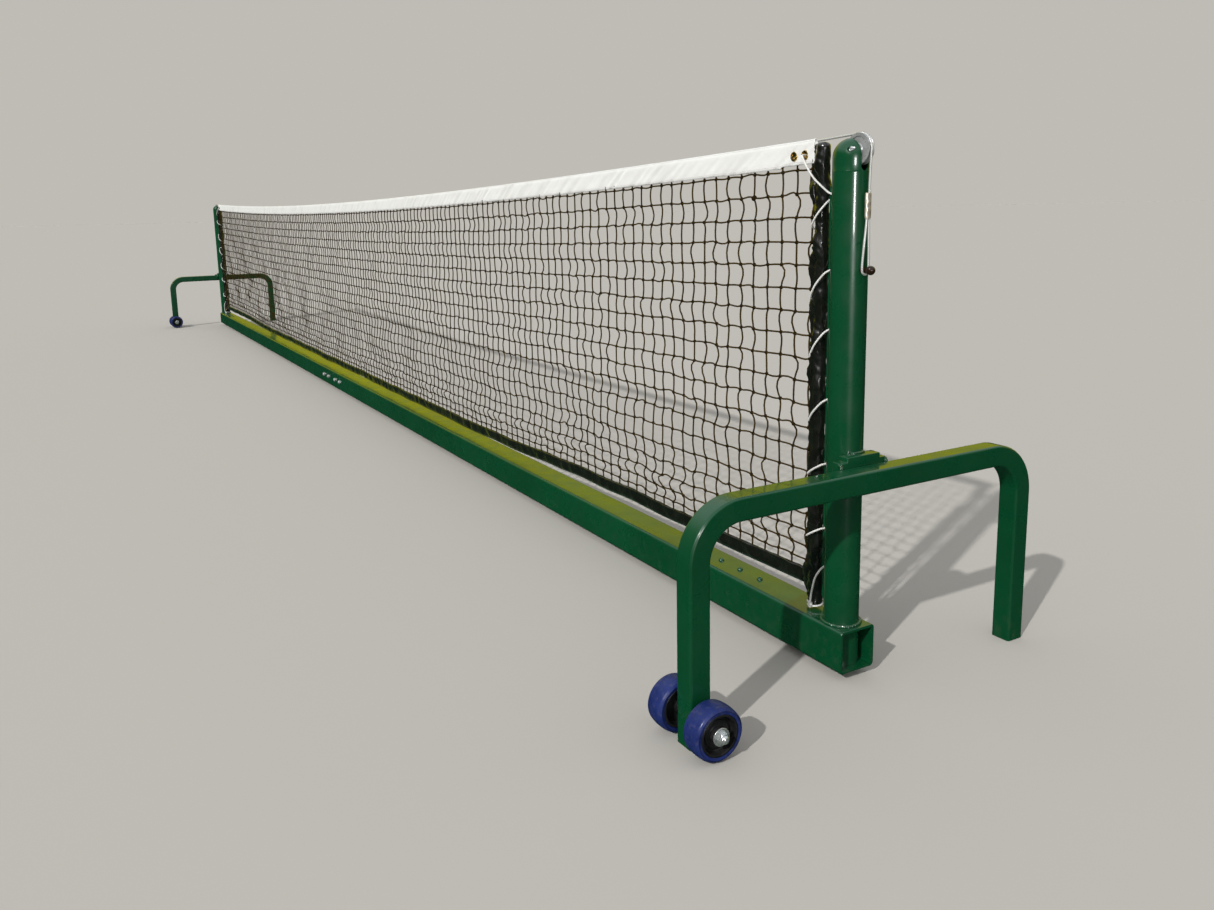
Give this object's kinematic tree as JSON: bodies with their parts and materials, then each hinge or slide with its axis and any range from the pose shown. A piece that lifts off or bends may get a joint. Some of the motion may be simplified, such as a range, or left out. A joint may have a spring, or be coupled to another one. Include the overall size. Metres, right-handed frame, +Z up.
{
  "type": "portable pickleball net",
  "caption": "Knotted net with a white headband, hung by cable between two steel posts on a square-tube base beam with bent leg frames and transport wheels.",
  "frame": {"origin": "on the floor at the bottom centre of the bounding box, at mid-span", "axes": "+X along the net towards end a, +Y across the net away from the wheeled legs, +Z up"},
  "size_m": [7.0026, 0.776, 0.9173],
  "materials": {
    "green_paint": "gloss",
    "zinc": "satin",
    "chrome": "polished",
    "blue_tread": "satin",
    "black_plastic": "satin",
    "black_vinyl": "glossy coated",
    "white_vinyl": "coated",
    "twine": "matt",
    "brass": "polished",
    "white_cord": "matt",
    "wire": "satin",
    "copper": "satin",
    "peg_black": "gloss",
    "wood": "satin"
  },
  "bodies": {
    "frame": {"axle_nut_a": "chrome", "axle_nut_b": "chrome", "axle_washer_a_inner": "chrome", "axle_washer_a_outer": "chrome", "axle_washer_b_inner": "chrome", "axle_washer_b_outer": "chrome", "beam_a": "green_paint", "beam_b": "green_paint", "beam_screw_a1": "green_paint", "beam_screw_a2": "green_paint", "beam_screw_a3": "green_paint", "beam_screw_b1": "green_paint", "beam_screw_b2": "green_paint", "beam_screw_b3": "green_paint", "bottom_tape": "black_vinyl", "cable_ferrule_a": "copper", "cable_ferrule_b": "copper", "cable_peg_a": "peg_black", "cable_peg_b": "peg_black", "dowel_a": "wood", "dowel_b": "wood", "frame_saddle_a": "green_paint", "frame_saddle_b": "green_paint", "grommet_a1": "brass", "grommet_a2": "brass", "grommet_b1": "brass", "grommet_b2": "brass", "headband": "white_vinyl", "lacing_cord_a": "white_cord", "lacing_cord_b": "white_cord", "lacing_rod_a": "green_paint", "lacing_rod_b": "green_paint", "leg_frame_a": "green_paint", "leg_frame_b": "green_paint", "net_cable": "wire", "netting": "twine", "post_a": "green_paint", "post_b": "green_paint", "sheave_axle_a": "chrome", "sheave_axle_b": "chrome", "side_sleeve_a": "black_vinyl", "side_sleeve_b": "black_vinyl", "splice_bolt_a1": "zinc", "splice_bolt_a2": "zinc", "splice_bolt_b1": "zinc", "splice_bolt_b2": "zinc", "splice_sleeve": "zinc", "wheel_axle_a": "chrome", "wheel_axle_b": "chrome"},
    "wheel_a_outer": {"tyre_a_outer": "blue_tread", "hub_a_outer": "black_plastic"},
    "wheel_a_inner": {"tyre_a_inner": "blue_tread", "hub_a_inner": "black_plastic"},
    "pulley_a": {"sheave_a": "zinc"},
    "wheel_b_outer": {"tyre_b_outer": "blue_tread", "hub_b_outer": "black_plastic"},
    "wheel_b_inner": {"tyre_b_inner": "blue_tread", "hub_b_inner": "black_plastic"},
    "pulley_b": {"sheave_b": "zinc"}
  },
  "joints": [
    {"name": "wheel_a_outer_spin", "type": "hinge", "parent": "frame", "child": "wheel_a_outer", "pos_m": [3.4657, -0.34495, 0.044], "axis": [1, 0, 0], "continuous": true},
    {"name": "wheel_a_inner_spin", "type": "hinge", "parent": "frame", "child": "wheel_a_inner", "pos_m": [3.3687, -0.34495, 0.044], "axis": [1, 0, 0], "continuous": true},
    {"name": "pulley_a_spin", "type": "hinge", "parent": "frame", "child": "pulley_a", "pos_m": [3.3715, 0.012, 0.891], "axis": [0, 1, 0], "continuous": true},
    {"name": "wheel_b_outer_spin", "type": "hinge", "parent": "frame", "child": "wheel_b_outer", "pos_m": [-3.4657, -0.34495, 0.044], "axis": [1, 0, 0], "continuous": true},
    {"name": "wheel_b_inner_spin", "type": "hinge", "parent": "frame", "child": "wheel_b_inner", "pos_m": [-3.3687, -0.34495, 0.044], "axis": [1, 0, 0], "continuous": true},
    {"name": "pulley_b_spin", "type": "hinge", "parent": "frame", "child": "pulley_b", "pos_m": [-3.3715, 0.012, 0.891], "axis": [0, 1, 0], "continuous": true}
  ]
}
